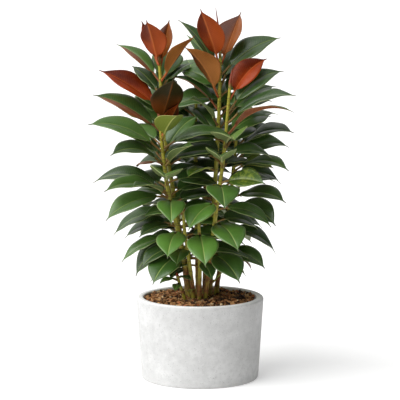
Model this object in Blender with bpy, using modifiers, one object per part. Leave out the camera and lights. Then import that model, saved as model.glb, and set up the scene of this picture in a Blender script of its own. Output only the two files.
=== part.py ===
"""A potted rubber plant: a turned pot, its soil and bark mulch, seven stems and their larger leaves.

The frame's origin is the centre of the pot's base, +Z is up and the plant is seen from -Y.
Lengths are in metres and angles in degrees.
"""

import math

import bmesh
import bpy
from mathutils import Matrix, Vector

# Pot
POT_HEIGHT = 0.219
RIM_RADIUS = 0.170
BASE_RADIUS = 0.156
WALL = 0.021
FLOOR_THICKNESS = 0.022
LIP_ROUND = 0.007
BASE_ROUND = 0.005
TURN_STEPS = 64

# Fill
GAP = 0.0003
SOIL_TOP = 0.190
MULCH_EDGE = 0.212
MULCH_CROWN = 0.217

# Stems
STEM_TIP_RADIUS = 0.0038
BUD_TIP_RADIUS = 0.0009
SOCKET_SIDES = 16
STEM_STEPS = 4

# Leaves: a petiole, a blade folded up along its midrib by an angle that depends on its kind, and a drip tip
PETIOLE_SHARE = 0.15
PETIOLE_HALF_WIDTH = 0.0022
PETIOLE_THICKNESS = 0.0036
BLADE_THICKNESS = 0.0012
DRIP_TIP_AT = 0.93
DROOP_POWER = 1.3
FOLDS = {
    "mature": 10,
    "russet": 12,
    "open": 7,
    "cupped": 22,
    "olive": 14,
    "bronze": 26,
    "flushed": 16,
}
STATIONS = (0.0, 0.07, 0.15, 0.20, 0.30, 0.45, 0.62, 0.78, 0.90, 0.95, 1.0)
SPINE_STEPS = 24

# Each stem: its radius at the soil, its axis from the root end up to the growing tip, and the point of its bud.
# The first two points bound the straight stretch that runs down through the mulch and into the soil.
STEMS = {
    1: (
        0.0072,
        [
            (-0.022, 0.016, 0.13),
            (-0.034, 0.025, 0.235),
            (-0.060, 0.038, 0.42),
            (-0.093, 0.044, 0.64),
            (-0.108, 0.044, 0.845),
        ],
        (-0.112, 0.046, 0.92),
    ),
    2: (
        0.0080,
        [
            (-0.014, -0.012, 0.13),
            (-0.026, -0.021, 0.235),
            (-0.058, -0.038, 0.40),
            (-0.086, -0.046, 0.52),
            (-0.106, -0.050, 0.700),
        ],
        (-0.107, -0.050, 0.745),
    ),
    3: (
        0.0075,
        [
            (0.020, 0.010, 0.13),
            (0.026, 0.013, 0.235),
            (0.036, 0.020, 0.45),
            (0.048, 0.020, 0.66),
            (0.053, 0.015, 0.857),
        ],
        (0.041, 0.020, 0.985),
    ),
    4: (
        0.0062,
        [
            (0.008, -0.018, 0.13),
            (0.016, -0.029, 0.235),
            (0.042, -0.046, 0.45),
            (0.062, -0.050, 0.60),
            (0.078, -0.045, 0.78),
        ],
        (0.084, -0.044, 0.83),
    ),
    5: (
        0.0070,
        [
            (-0.002, 0.036, 0.13),
            (-0.005, 0.047, 0.235),
            (-0.010, 0.085, 0.45),
            (-0.012, 0.100, 0.62),
            (-0.010, 0.100, 0.77),
        ],
        (-0.008, 0.100, 0.84),
    ),
    6: (
        0.0060,
        [
            (-0.004, -0.040, 0.13),
            (-0.002, -0.043, 0.235),
            (0.000, -0.056, 0.33),
            (-0.002, -0.060, 0.40),
            (-0.003, -0.061, 0.425),
        ],
        (-0.003, -0.062, 0.455),
    ),
    7: (
        0.0065,
        [
            (0.034, 0.026, 0.13),
            (0.045, 0.034, 0.235),
            (0.075, 0.070, 0.42),
            (0.095, 0.085, 0.60),
            (0.100, 0.090, 0.70),
        ],
        (0.102, 0.091, 0.75),
    ),
}

# The leaves of each stem, from the top down. A row is the height where the petiole leaves the stem, its heading
# round +Z from +X, its rise there, its length, the angle that it droops through on the way to its tip, the roll of
# its blade about its spine, the blade's width, and its kind.
LEAVES = {
    1: [
        (0.835, 239, 69, 0.130, 10, 0, 0.076, "flushed"),
        (0.830, 60, 70, 0.126, -5, 0, 0.058, "bronze"),
        (0.793, 320, 52, 0.166, 13, 5, 0.058, "bronze"),
        (0.791, 153, 54, 0.160, 40, -18, 0.056, "russet"),
        (0.750, 75, 55, 0.170, 45, 10, 0.066, "mature"),
        (0.717, 168, 41, 0.195, 22, -34, 0.072, "flushed"),
        (0.650, 179, 45, 0.215, 37, -28, 0.078, "russet"),
        (0.630, 110, 45, 0.185, 65, -10, 0.074, "mature"),
    ],
    2: [
        (0.685, 290, 48, 0.165, -5, 0, 0.088, "olive"),
        (0.614, 187, 45, 0.211, 57, -25, 0.084, "mature"),
        (0.608, 40, 58, 0.150, 46, 20, 0.068, "mature"),
        (0.579, 211, 44, 0.170, 76, -25, 0.074, "mature"),
        (0.526, 270, 35, 0.153, 50, 0, 0.086, "cupped"),
        (0.504, 171, 37, 0.209, 72, -25, 0.072, "mature"),
        (0.502, 205, 30, 0.185, 60, -25, 0.064, "mature"),
        (0.492, 207, 6, 0.192, 52, -25, 0.074, "mature"),
        (0.480, 272, 10, 0.158, 60, 0, 0.074, "open"),
        (0.455, 172, -3, 0.174, 50, -25, 0.078, "mature"),
        (0.398, 259, 3, 0.159, 48, 0, 0.080, "open"),
        (0.386, 181, -4, 0.167, 51, -15, 0.060, "mature"),
        (0.338, 233, -6, 0.144, 50, -10, 0.086, "open"),
    ],
    3: [
        (0.839, 236, 62, 0.168, 7, 8, 0.078, "flushed"),
        (0.837, 51, 60, 0.155, 1, 0, 0.100, "bronze"),
        (0.810, 15, 48, 0.190, 40, 34, 0.080, "mature"),
        (0.810, 155, 68, 0.185, 39, -15, 0.052, "mature"),
        (0.751, 220, 66, 0.180, 38, 15, 0.078, "bronze"),
        (0.718, 160, 57, 0.165, 60, -5, 0.070, "russet"),
        (0.677, 234, 52, 0.150, 47, -25, 0.062, "mature"),
    ],
    4: [
        (0.750, 27, 64, 0.151, 47, 38, 0.068, "flushed"),
        (0.719, 22, 58, 0.191, 59, 25, 0.076, "mature"),
        (0.688, 343, 47, 0.203, 58, 26, 0.078, "mature"),
        (0.656, 333, 51, 0.212, 73, -4, 0.066, "russet"),
        (0.626, 279, 32, 0.155, 48, 10, 0.096, "cupped"),
        (0.573, 266, 38, 0.147, 54, 0, 0.080, "cupped"),
        (0.520, 275, 10, 0.160, 60, 0, 0.088, "open"),
        (0.475, 239, 1, 0.152, 54, -5, 0.080, "open"),
        (0.420, 290, 7, 0.183, 54, 5, 0.088, "open"),
        (0.341, 299, -3, 0.159, 45, 10, 0.082, "open"),
    ],
    5: [
        (0.755, 100, 50, 0.175, 50, 0, 0.064, "mature"),
        (0.700, 60, 45, 0.190, 60, 10, 0.074, "mature"),
        (0.620, 120, 40, 0.195, 70, -10, 0.076, "mature"),
        (0.540, 80, 30, 0.190, 75, 0, 0.078, "mature"),
        (0.430, 105, 12, 0.185, 65, 0, 0.078, "mature"),
    ],
    6: [
        (0.397, 275, -3, 0.171, 46, 0, 0.082, "open"),
    ],
    7: [
        (0.600, 332, 48, 0.188, 69, 25, 0.084, "mature"),
        (0.576, 24, 41, 0.171, 73, 25, 0.076, "mature"),
        (0.547, 321, 33, 0.188, 69, 20, 0.064, "mature"),
        (0.473, 320, 24, 0.186, 55, 25, 0.072, "mature"),
        (0.447, 316, 15, 0.170, 64, 25, 0.078, "mature"),
        (0.342, 323, -1, 0.141, 42, 25, 0.056, "mature"),
    ],
}

COLOURS = {
    "concrete": (0.72, 0.72, 0.71),
    "soil": (0.060, 0.035, 0.022),
    "bark": (0.200, 0.095, 0.045),
    "stem": (0.230, 0.210, 0.055),
    "mature": (0.050, 0.150, 0.035),
    "russet": (0.060, 0.130, 0.035),
    "open": (0.055, 0.160, 0.038),
    "cupped": (0.060, 0.160, 0.050),
    "olive": (0.075, 0.065, 0.025),
    "bronze": (0.260, 0.110, 0.045),
    "flushed": (0.420, 0.095, 0.030),
}
ROUGHNESS = {
    "concrete": 0.75,
    "soil": 0.95,
    "bark": 0.90,
    "stem": 0.50,
    "mature": 0.28,
    "russet": 0.28,
    "open": 0.28,
    "cupped": 0.32,
    "olive": 0.30,
    "bronze": 0.30,
    "flushed": 0.30,
}


def clear_scene():
    for obj in list(bpy.data.objects):
        bpy.data.objects.remove(obj)


def new_collection(name):
    collection = bpy.data.collections.new(name)
    bpy.context.scene.collection.children.link(collection)
    return collection


def make_material(name):
    material = bpy.data.materials.new(name)
    material.use_nodes = True
    shader = material.node_tree.nodes["Principled BSDF"]
    shader.inputs["Base Color"].default_value = (*COLOURS[name], 1.0)
    shader.inputs["Roughness"].default_value = ROUGHNESS[name]
    shader.inputs["Metallic"].default_value = 0.0
    return material


def add_object(name, data, material, collection):
    obj = bpy.data.objects.new(name, data)
    obj.data.materials.append(material)
    collection.objects.link(obj)
    return obj


def arc(centre_x, centre_z, radius, start, end, steps):
    """Points on an arc in the XZ plane, between two angles from +X towards +Z."""
    angles = [start + (end - start) * i / steps for i in range(steps + 1)]
    return [
        (centre_x + radius * math.cos(math.radians(a)), centre_z + radius * math.sin(math.radians(a)))
        for a in angles
    ]


def turned(name, profile, material, collection):
    """A solid of revolution from (radius, height) points that run down its outer side."""
    mesh = bpy.data.meshes.new(name)
    points = [(x, 0.0, z) for x, z in profile]
    mesh.from_pydata(points, [(i, i + 1) for i in range(len(points) - 1)], [])
    obj = add_object(name, mesh, material, collection)
    screw = obj.modifiers.new("turn", "SCREW")
    screw.steps = TURN_STEPS
    screw.render_steps = TURN_STEPS
    screw.use_merge_vertices = True
    screw.merge_threshold = 0.00001
    screw.use_smooth_shade = True
    return obj


def inner_radius(height):
    """Radius of the pot's inner wall, which runs parallel to its outer wall."""
    return BASE_RADIUS - WALL + (RIM_RADIUS - BASE_RADIUS) * height / POT_HEIGHT


def make_pot(material, collection):
    lip = POT_HEIGHT - LIP_ROUND
    profile = [(0.0, FLOOR_THICKNESS), (inner_radius(FLOOR_THICKNESS), FLOOR_THICKNESS)]
    profile += arc(inner_radius(lip) + LIP_ROUND, lip, LIP_ROUND, 180, 90, 4)
    profile += arc(RIM_RADIUS - LIP_ROUND, lip, LIP_ROUND, 90, 0, 4)
    profile += arc(BASE_RADIUS - BASE_ROUND, BASE_ROUND, BASE_ROUND, 0, -90, 3)
    profile += [(0.0, 0.0)]
    return turned("pot", profile, material, collection)


def make_soil(material, collection):
    bottom = FLOOR_THICKNESS + GAP
    profile = [
        (0.0, SOIL_TOP),
        (inner_radius(SOIL_TOP) - GAP, SOIL_TOP),
        (inner_radius(bottom) - GAP, bottom),
        (0.0, bottom),
    ]
    return turned("soil", profile, material, collection)


def make_mulch(material, collection):
    bottom = SOIL_TOP + GAP
    rings = 6
    edge = inner_radius(MULCH_EDGE) - GAP
    profile = []
    for i in range(rings + 1):
        share = i / rings
        height = MULCH_CROWN - (MULCH_CROWN - MULCH_EDGE) * share**3
        profile.append((edge * share, height))
    profile += [(inner_radius(bottom) - GAP, bottom), (0.0, bottom)]
    return turned("bark_mulch", profile, material, collection)


def smooth_between(before, start, end, after, t):
    """A point on the Catmull-Rom curve between start and end."""
    linear = end - before
    square = 2 * before - 5 * start + 4 * end - after
    cube = 3 * start - before - 3 * end + after
    return start + 0.5 * (linear * t + square * t**2 + cube * t**3)


def stem_axis(stem):
    """(point, radius) pairs along a stem, from its root end to the point of its bud."""
    root_radius, points, bud = STEMS[stem]
    points = [Vector(p) for p in points]
    bud = Vector(bud)
    knots = [*points, bud]
    axis = [points[0], points[1]]
    for i in range(1, len(points) - 1):
        for step in range(1, STEM_STEPS + 1):
            axis.append(smooth_between(knots[i - 1], knots[i], knots[i + 1], knots[i + 2], step / STEM_STEPS))
    ground = points[1].z
    top = points[-1].z
    pairs = []
    for point in axis:
        share = max(0.0, (point.z - ground) / (top - ground))
        pairs.append((point, root_radius + (STEM_TIP_RADIUS - root_radius) * share))
    pairs.append((points[-1].lerp(bud, 0.45), STEM_TIP_RADIUS * 0.75))
    pairs.append((bud, BUD_TIP_RADIUS))
    return pairs


def stem_at(stem, height):
    """The stem's axis point and radius at a height."""
    pairs = stem_axis(stem)
    for (low, low_radius), (high, high_radius) in zip(pairs, pairs[1:]):
        if height <= high.z:
            share = (height - low.z) / (high.z - low.z)
            return low.lerp(high, share), low_radius + (high_radius - low_radius) * share
    return pairs[-1]


def make_stem(stem, material, collection):
    curve = bpy.data.curves.new(f"stem_{stem}", "CURVE")
    curve.dimensions = "3D"
    curve.bevel_depth = 1.0
    curve.bevel_resolution = 2
    curve.use_fill_caps = True
    pairs = stem_axis(stem)
    spline = curve.splines.new("POLY")
    spline.points.add(len(pairs) - 1)
    for point, (place, radius) in zip(spline.points, pairs):
        point.co = (*place, 1.0)
        point.radius = radius
    spline.use_smooth = True
    return add_object(curve.name, curve, material, collection)


def make_socket(stem, material, collection):
    """A cutter that clears the soil and the mulch around the straight, buried end of a stem."""
    radius, points, _ = STEMS[stem]
    root = Vector(points[0])
    ground = Vector(points[1])
    along = (ground - root).normalized()
    start = root - along * GAP
    end = ground + along * 0.01
    bm = bmesh.new()
    bmesh.ops.create_cone(
        bm,
        cap_ends=True,
        segments=SOCKET_SIDES,
        radius1=radius + 2 * GAP,
        radius2=radius + 2 * GAP,
        depth=(end - start).length,
        matrix=Matrix.Translation((start + end) / 2) @ along.to_track_quat("Z", "Y").to_matrix().to_4x4(),
    )
    mesh = bpy.data.meshes.new(f"socket_{stem}")
    bm.to_mesh(mesh)
    bm.free()
    cutter = add_object(mesh.name, mesh, material, collection)
    cutter.hide_render = True
    cutter.display_type = "WIRE"
    return cutter


def cut(obj, cutter):
    boolean = obj.modifiers.new(cutter.name, "BOOLEAN")
    boolean.operation = "DIFFERENCE"
    boolean.solver = "EXACT"
    boolean.object = cutter


def rise_at(share, rise, droop):
    """The spine's angle above the horizontal at a share of its length."""
    return math.radians(rise - droop * share**DROOP_POWER)


def spine_point(base, heading, rise, length, droop, share):
    """The point at a share of the leaf's length along its drooping spine."""
    point = base.copy()
    step = share / SPINE_STEPS
    for i in range(SPINE_STEPS):
        angle = rise_at((i + 0.5) * step, rise, droop)
        flat = math.cos(angle)
        point += Vector((flat * math.cos(heading), flat * math.sin(heading), math.sin(angle))) * length * step
    return point


def half_width(share, width):
    """Half the leaf's width: a thin petiole, an oval blade and a narrow drip tip."""
    along = (share - PETIOLE_SHARE) / (1.0 - PETIOLE_SHARE)
    if along <= 0.0:
        return PETIOLE_HALF_WIDTH
    tip = PETIOLE_HALF_WIDTH * (1.0 - 0.7 * share)
    if along >= DRIP_TIP_AT:
        return tip
    blade = math.sin(math.pi * (along / DRIP_TIP_AT) ** 0.95) ** 0.75
    return max(blade * width / 2, tip)


def blade_lift(share, across, fold):
    """How far the blade rises from its spine at a distance across it."""
    return abs(across) * math.tan(fold) if share > PETIOLE_SHARE else 0.0


def make_leaf(name, stem, row, material, collection):
    height, heading, rise, length, droop, roll, width, kind = row
    heading = math.radians(heading)
    roll = math.radians(roll)
    centre, radius = stem_at(stem, height)
    clearance = radius + 2 * GAP + 0.7 * PETIOLE_THICKNESS * abs(math.sin(math.radians(rise)))
    out = Vector((math.cos(heading), math.sin(heading), 0.0))
    base = centre + out * clearance
    level_side = Vector((-math.sin(heading), math.cos(heading), 0.0))

    bm = bmesh.new()
    bmesh.ops.create_grid(bm, x_segments=len(STATIONS) - 1, y_segments=2, size=1.0)
    thick = []
    for vertex in bm.verts:
        station = round((vertex.co.x + 1.0) / 2.0 * (len(STATIONS) - 1))
        share = STATIONS[station]
        side_sign = vertex.co.y
        angle = rise_at(share, rise, droop)
        along = Vector((math.cos(angle) * math.cos(heading), math.cos(angle) * math.sin(heading), math.sin(angle)))
        up = along.cross(level_side)
        side = level_side * math.cos(roll) + up * math.sin(roll)
        normal = along.cross(side)
        across = side_sign * half_width(share, width)
        lift = blade_lift(share, across, math.radians(FOLDS[kind]))
        vertex.co = spine_point(base, heading, rise, length, droop, share) + side * across + normal * lift
        if share < PETIOLE_SHARE:
            thick.append(vertex.index)
    mesh = bpy.data.meshes.new(name)
    bm.to_mesh(mesh)
    bm.free()
    mesh.shade_smooth()
    leaf = add_object(name, mesh, material, collection)
    group = leaf.vertex_groups.new(name="petiole")
    group.add(thick, 1.0, "REPLACE")
    shell = leaf.modifiers.new("thickness", "SOLIDIFY")
    shell.thickness = PETIOLE_THICKNESS
    shell.offset = 0.0
    shell.vertex_group = group.name
    shell.thickness_vertex_group = BLADE_THICKNESS / PETIOLE_THICKNESS
    return leaf


def main():
    clear_scene()
    plant = new_collection("potted_rubber_plant")
    cutters = new_collection("cutters")
    materials = {name: make_material(name) for name in COLOURS}

    make_pot(materials["concrete"], plant)
    soil = make_soil(materials["soil"], plant)
    mulch = make_mulch(materials["bark"], plant)
    for stem in STEMS:
        make_stem(stem, materials["stem"], plant)
        socket = make_socket(stem, materials["soil"], cutters)
        cut(soil, socket)
        cut(mulch, socket)
    for stem, rows in LEAVES.items():
        for number, row in enumerate(rows, start=1):
            make_leaf(f"leaf_{stem}_{number:02d}", stem, row, materials[row[-1]], plant)


main()
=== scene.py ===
"""Looks of a potted rubber plant.

Leaning stems carry glossy leaves and pointed buds, over bark mulch in a turned concrete pot. Lengths are
in metres and angles in degrees. +Z is up, and the plant's fullest side faces -Y.
"""

import math
import random

import bmesh
import bpy
from mathutils import Matrix, Vector
from mathutils.bvhtree import BVHTree


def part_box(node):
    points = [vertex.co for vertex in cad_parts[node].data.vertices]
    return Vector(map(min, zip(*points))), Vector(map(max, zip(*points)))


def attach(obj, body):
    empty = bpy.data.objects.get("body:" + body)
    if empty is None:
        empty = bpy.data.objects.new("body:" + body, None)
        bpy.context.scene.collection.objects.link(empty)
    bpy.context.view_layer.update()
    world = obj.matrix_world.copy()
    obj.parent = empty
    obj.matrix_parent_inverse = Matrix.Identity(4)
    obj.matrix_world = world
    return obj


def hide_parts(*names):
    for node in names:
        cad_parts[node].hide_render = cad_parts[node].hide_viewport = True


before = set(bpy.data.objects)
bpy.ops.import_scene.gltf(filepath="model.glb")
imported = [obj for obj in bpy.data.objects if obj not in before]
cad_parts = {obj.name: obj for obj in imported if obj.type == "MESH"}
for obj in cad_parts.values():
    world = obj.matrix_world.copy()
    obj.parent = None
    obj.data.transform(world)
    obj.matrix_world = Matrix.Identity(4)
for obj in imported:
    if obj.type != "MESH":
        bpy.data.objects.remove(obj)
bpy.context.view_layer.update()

# Pot
POT_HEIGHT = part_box("pot")[1].z
RIM_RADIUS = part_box("pot")[1].x
BASE_RADIUS = 0.156
WALL = 0.021
FLOOR_THICKNESS = 0.022
LIP_ROUND = 0.007
BASE_ROUND = 0.005
POT_STEPS = 192
WALL_STEPS = 12
LIP_STEPS = 10
WELD = 0.00005

# Mulch
MULCH_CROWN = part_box("bark_mulch")[1].z
MULCH_EDGE = 0.2145
MULCH_RADIUS = 0.1465
BED_UNDERSIDE = 0.1915
BED_BELOW_CHIPS = 0.007
BED_STEPS = 90
CHIP_COUNT = 1300
CHIP_LENGTHS = (0.007, 0.022)
CHIP_WIDTH_SHARES = (0.35, 0.75)
CHIP_THICKNESS_SHARES = (0.14, 0.34)
CHIP_LIFTS = (-0.004, 0.0015)
CHIP_TILTS = (0.42, 0.5)
GOLDEN_ANGLE = math.pi * (3 - math.sqrt(5))

# Stems
STEM_TIP_RADIUS = 0.0038
STEM_SIDES = 20
STEM_STEPS = 24
STEM_RING_SPACING = 0.0016
BUD_SIDES = 12
BUD_STEPS = 14
BUD_POINT_RADIUS = 0.0006
BUD_SUNK = 0.003
NODE_SWELL = 0.14
NODE_HALF_LENGTH = 0.0026
LEAF_NODES_FROM = 0.24
BARE_NODES_FROM = 0.232
INTERNODE = 0.027

# Leaves
PETIOLE_SHARE = 0.15
PETIOLE_RADIUS = 0.0016
BLADE_THICKNESS = 0.0009
DRIP_TIP_AT = 0.93
DRIP_TIP_HALF_WIDTH = 0.0021
DROOP_POWER = 1.3
FOLDS = {
    "mature": 10,
    "russet": 12,
    "open": 7,
    "mottled": 10,
    "cupped": 22,
    "lime": 22,
    "olive": 14,
    "bronze": 26,
    "flushed": 16,
}
RIB_DEPTH = 0.0007
RIB_HALF_WIDTH = 0.0020
PETIOLE_STATIONS = 6
BLADE_STATIONS = 30
TIP_STATIONS = 4
SPINE_STEPS = 3

# Inner leaves
INNER_START = 0.29
INNER_TOP = 0.80
INNER_BELOW_TIP = 0.06
INNER_SPACING = 0.011
INNER_TURN = 137.5
INNER_ATTEMPTS = 24
INNER_FRONT = -0.12
INNER_LENGTHS = (0.140, 0.195)
INNER_WIDTHS = (0.066, 0.088)
INNER_DROOPS = (45, 65)
CROWN_FLOOR = 0.25
CROWN_FRONT = -0.13
CROWN_BACK = 0.262
# left and right for each 0.1 of height
CROWN_SIDES = [
    (-0.12, 0.12), (-0.12, 0.12), (-0.14, 0.13), (-0.17, 0.16), (-0.20, 0.19),
    (-0.215, 0.21), (-0.215, 0.22), (-0.205, 0.21), (-0.18, 0.18), (-0.13, 0.10),
]

# Camera and lamp
CAMERA_LENS = 169.64
CAMERA_SENSOR = 36
CAMERA_PLACE = (0, -4.9585, 1.1201)
CAMERA_TARGET = (0, 0, 0.477)
KEY_PLACE = (-2.5, -1.7, 3.3)
KEY_TARGET = (0, 0, 0.4)
KEY_STRENGTH = 3.0
KEY_SPREAD = 64
FLOOR_RADIUS = 90

# Each stem's axis from its root end up to its growing tip, then the point of its bud, as in the solids.
STEMS = {
    1: [
        (-0.022, 0.016, 0.13), (-0.034, 0.025, 0.235), (-0.060, 0.038, 0.42),
        (-0.093, 0.044, 0.64), (-0.108, 0.044, 0.845), (-0.112, 0.046, 0.92),
    ],
    2: [
        (-0.014, -0.012, 0.13), (-0.026, -0.021, 0.235), (-0.058, -0.038, 0.40),
        (-0.086, -0.046, 0.52), (-0.106, -0.050, 0.700), (-0.107, -0.050, 0.745),
    ],
    3: [
        (0.020, 0.010, 0.13), (0.026, 0.013, 0.235), (0.036, 0.020, 0.45),
        (0.048, 0.020, 0.66), (0.053, 0.015, 0.857), (0.041, 0.020, 0.985),
    ],
    4: [
        (0.008, -0.018, 0.13), (0.016, -0.029, 0.235), (0.042, -0.046, 0.45),
        (0.062, -0.050, 0.60), (0.078, -0.045, 0.78), (0.084, -0.044, 0.83),
    ],
    5: [
        (-0.002, 0.036, 0.13), (-0.005, 0.047, 0.235), (-0.010, 0.085, 0.45),
        (-0.012, 0.100, 0.62), (-0.010, 0.100, 0.77), (-0.008, 0.100, 0.84),
    ],
    6: [
        (-0.004, -0.040, 0.13), (-0.002, -0.043, 0.235), (0.000, -0.056, 0.33),
        (-0.002, -0.060, 0.40), (-0.003, -0.061, 0.425), (-0.003, -0.062, 0.455),
    ],
    7: [
        (0.034, 0.026, 0.13), (0.045, 0.034, 0.235), (0.075, 0.070, 0.42),
        (0.095, 0.085, 0.60), (0.100, 0.090, 0.70), (0.102, 0.091, 0.75),
    ],
}

# Thin stems and a sprout that only show here.
LESSER_STEMS = {
    8: [
        (-0.014, -0.034, 0.13), (-0.018, -0.038, 0.235), (-0.030, -0.050, 0.33),
        (-0.040, -0.056, 0.40), (-0.044, -0.058, 0.455), (-0.045, -0.058, 0.48),
    ],
    9: [
        (-0.036, -0.046, 0.19), (-0.042, -0.048, 0.225), (-0.052, -0.050, 0.255),
        (-0.060, -0.050, 0.283), (-0.061, -0.050, 0.292),
    ],
    10: [
        (0.010, 0.028, 0.13), (0.012, 0.031, 0.235), (0.014, 0.045, 0.33),
        (0.014, 0.060, 0.42), (0.013, 0.065, 0.50), (0.012, 0.066, 0.53),
    ],
}
ALL_STEMS = {**STEMS, **LESSER_STEMS}

# Each stem's radius at the soil.
STEM_RADII = {
    1: 0.0072,
    2: 0.0080,
    3: 0.0075,
    4: 0.0062,
    5: 0.0070,
    6: 0.0060,
    7: 0.0065,
    8: 0.0055,
    9: 0.0042,
    10: 0.0055,
}

# The leaves of each stem that stand for a solid, from the top down. A row is the height where the petiole
# leaves the stem, its heading round +Z from +X, its rise there, the leaf's length, the angle it droops
# through on the way to its tip, the roll of its blade about its spine, the blade's width, and its kind.
LEAVES = {
    1: [
        (0.835, 239, 69, 0.130, 10, 0, 0.076, "flushed"),
        (0.830, 60, 70, 0.126, -5, 0, 0.058, "bronze"),
        (0.793, 320, 52, 0.166, 13, 5, 0.058, "bronze"),
        (0.791, 153, 54, 0.160, 40, -18, 0.056, "russet"),
        (0.750, 75, 55, 0.170, 45, 10, 0.066, "mature"),
        (0.717, 168, 41, 0.195, 22, -34, 0.072, "flushed"),
        (0.650, 179, 45, 0.215, 37, -28, 0.078, "russet"),
        (0.630, 110, 45, 0.185, 65, -10, 0.074, "mature"),
    ],
    2: [
        (0.685, 290, 48, 0.165, -5, 0, 0.088, "olive"),
        (0.614, 187, 45, 0.211, 57, -25, 0.084, "mature"),
        (0.608, 40, 58, 0.150, 46, 20, 0.068, "mature"),
        (0.579, 211, 44, 0.170, 76, -25, 0.074, "mature"),
        (0.526, 270, 35, 0.153, 50, 0, 0.086, "cupped"),
        (0.504, 171, 37, 0.209, 72, -25, 0.072, "mature"),
        (0.502, 205, 30, 0.185, 60, -25, 0.064, "mature"),
        (0.492, 207, 6, 0.192, 52, -25, 0.074, "mature"),
        (0.480, 272, 10, 0.158, 60, 0, 0.074, "open"),
        (0.455, 172, -3, 0.174, 50, -25, 0.078, "mature"),
        (0.398, 259, 3, 0.159, 48, 0, 0.080, "open"),
        (0.386, 181, -4, 0.167, 51, -15, 0.060, "mature"),
        (0.338, 233, -6, 0.144, 50, -10, 0.086, "open"),
    ],
    3: [
        (0.839, 236, 62, 0.168, 7, 8, 0.078, "flushed"),
        (0.837, 51, 60, 0.155, 1, 0, 0.100, "bronze"),
        (0.810, 15, 48, 0.190, 40, 34, 0.080, "mature"),
        (0.810, 155, 68, 0.185, 39, -15, 0.052, "mature"),
        (0.751, 220, 66, 0.180, 38, 15, 0.078, "bronze"),
        (0.718, 160, 57, 0.165, 60, -5, 0.070, "russet"),
        (0.677, 234, 52, 0.150, 47, -25, 0.062, "mature"),
    ],
    4: [
        (0.750, 27, 64, 0.151, 47, 38, 0.068, "flushed"),
        (0.719, 22, 58, 0.191, 59, 25, 0.076, "mature"),
        (0.688, 343, 47, 0.203, 58, 26, 0.078, "mature"),
        (0.656, 333, 51, 0.212, 73, -4, 0.066, "russet"),
        (0.626, 279, 32, 0.155, 48, 10, 0.096, "cupped"),
        (0.573, 266, 38, 0.147, 54, 0, 0.080, "cupped"),
        (0.520, 275, 10, 0.160, 60, 0, 0.088, "open"),
        (0.475, 239, 1, 0.152, 54, -5, 0.080, "open"),
        (0.420, 290, 7, 0.183, 54, 5, 0.088, "open"),
        (0.341, 299, -3, 0.159, 45, 10, 0.082, "open"),
    ],
    5: [
        (0.755, 100, 50, 0.175, 50, 0, 0.064, "mature"),
        (0.700, 60, 45, 0.190, 60, 10, 0.074, "mature"),
        (0.620, 120, 40, 0.195, 70, -10, 0.076, "mature"),
        (0.540, 80, 30, 0.190, 75, 0, 0.078, "mature"),
        (0.430, 105, 12, 0.185, 65, 0, 0.078, "mature"),
    ],
    6: [
        (0.397, 275, -3, 0.171, 46, 0, 0.082, "open"),
    ],
    7: [
        (0.600, 332, 48, 0.188, 69, 25, 0.084, "mature"),
        (0.576, 24, 41, 0.171, 73, 25, 0.076, "mature"),
        (0.547, 321, 33, 0.188, 69, 20, 0.064, "mature"),
        (0.473, 320, 24, 0.186, 55, 25, 0.072, "mature"),
        (0.447, 316, 15, 0.170, 64, 25, 0.078, "mature"),
        (0.342, 323, -1, 0.141, 42, 25, 0.056, "mature"),
    ],
}

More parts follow.
